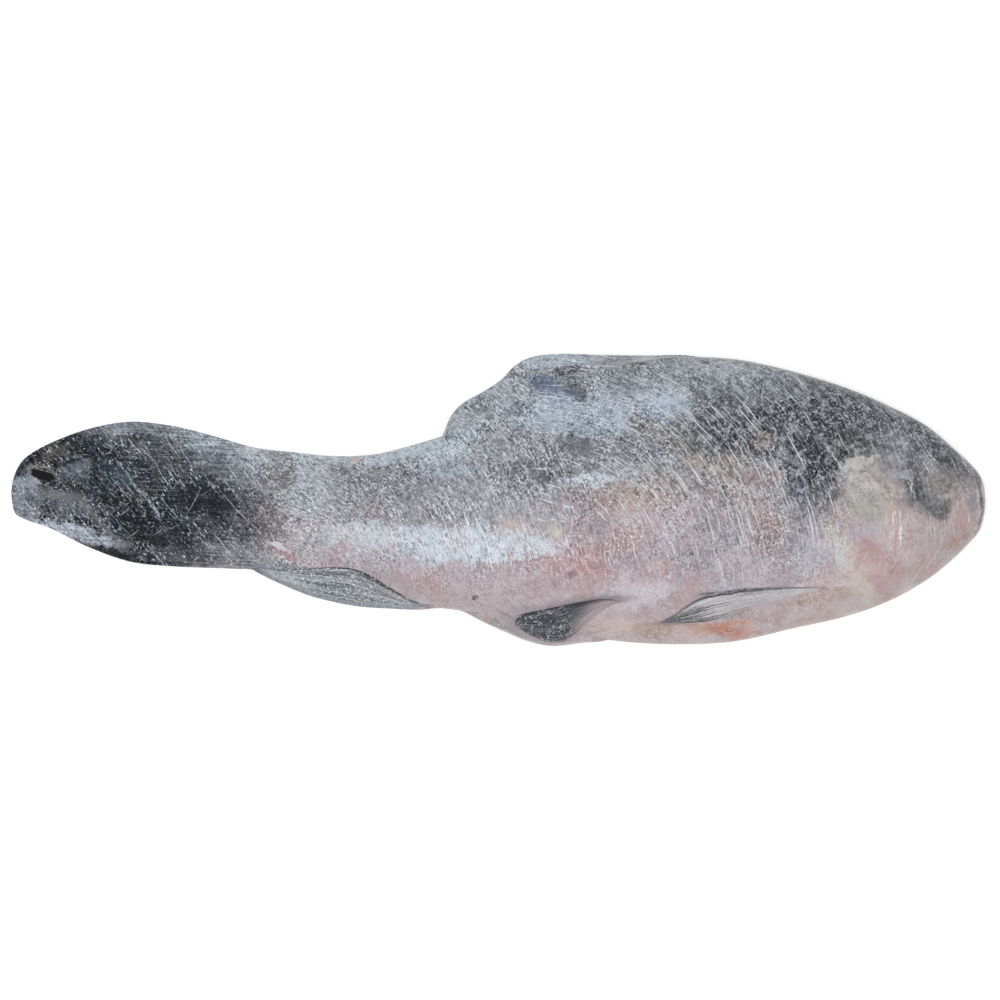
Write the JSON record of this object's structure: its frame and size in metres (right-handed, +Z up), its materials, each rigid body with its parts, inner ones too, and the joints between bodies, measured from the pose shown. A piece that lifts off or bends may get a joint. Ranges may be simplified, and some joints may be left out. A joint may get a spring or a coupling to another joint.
{
  "type": "whole raw frozen fish",
  "caption": "Whole raw fish, frozen under an ice glaze, lying on its flank with folded fins, gill cover, eye and bunched tail",
  "frame": {"origin": "on the resting plane, under the middle of the fish's bounding box", "axes": "+X from the tail to the snout, +Y from the belly to the back, +Z up, out of the upper flank"},
  "size_m": [0.4528, 0.1354, 0.0611],
  "materials": {
    "skin": "wet, ice-glazed skin: dark grey back, whitish frost band, pink belly",
    "fin": "wet, near-black ray skin under thin clear ice",
    "eye": "clouded, glossy lens in a dark ring"
  },
  "bodies": {
    "root": {"fish": "skin"}
  },
  "joints": []
}
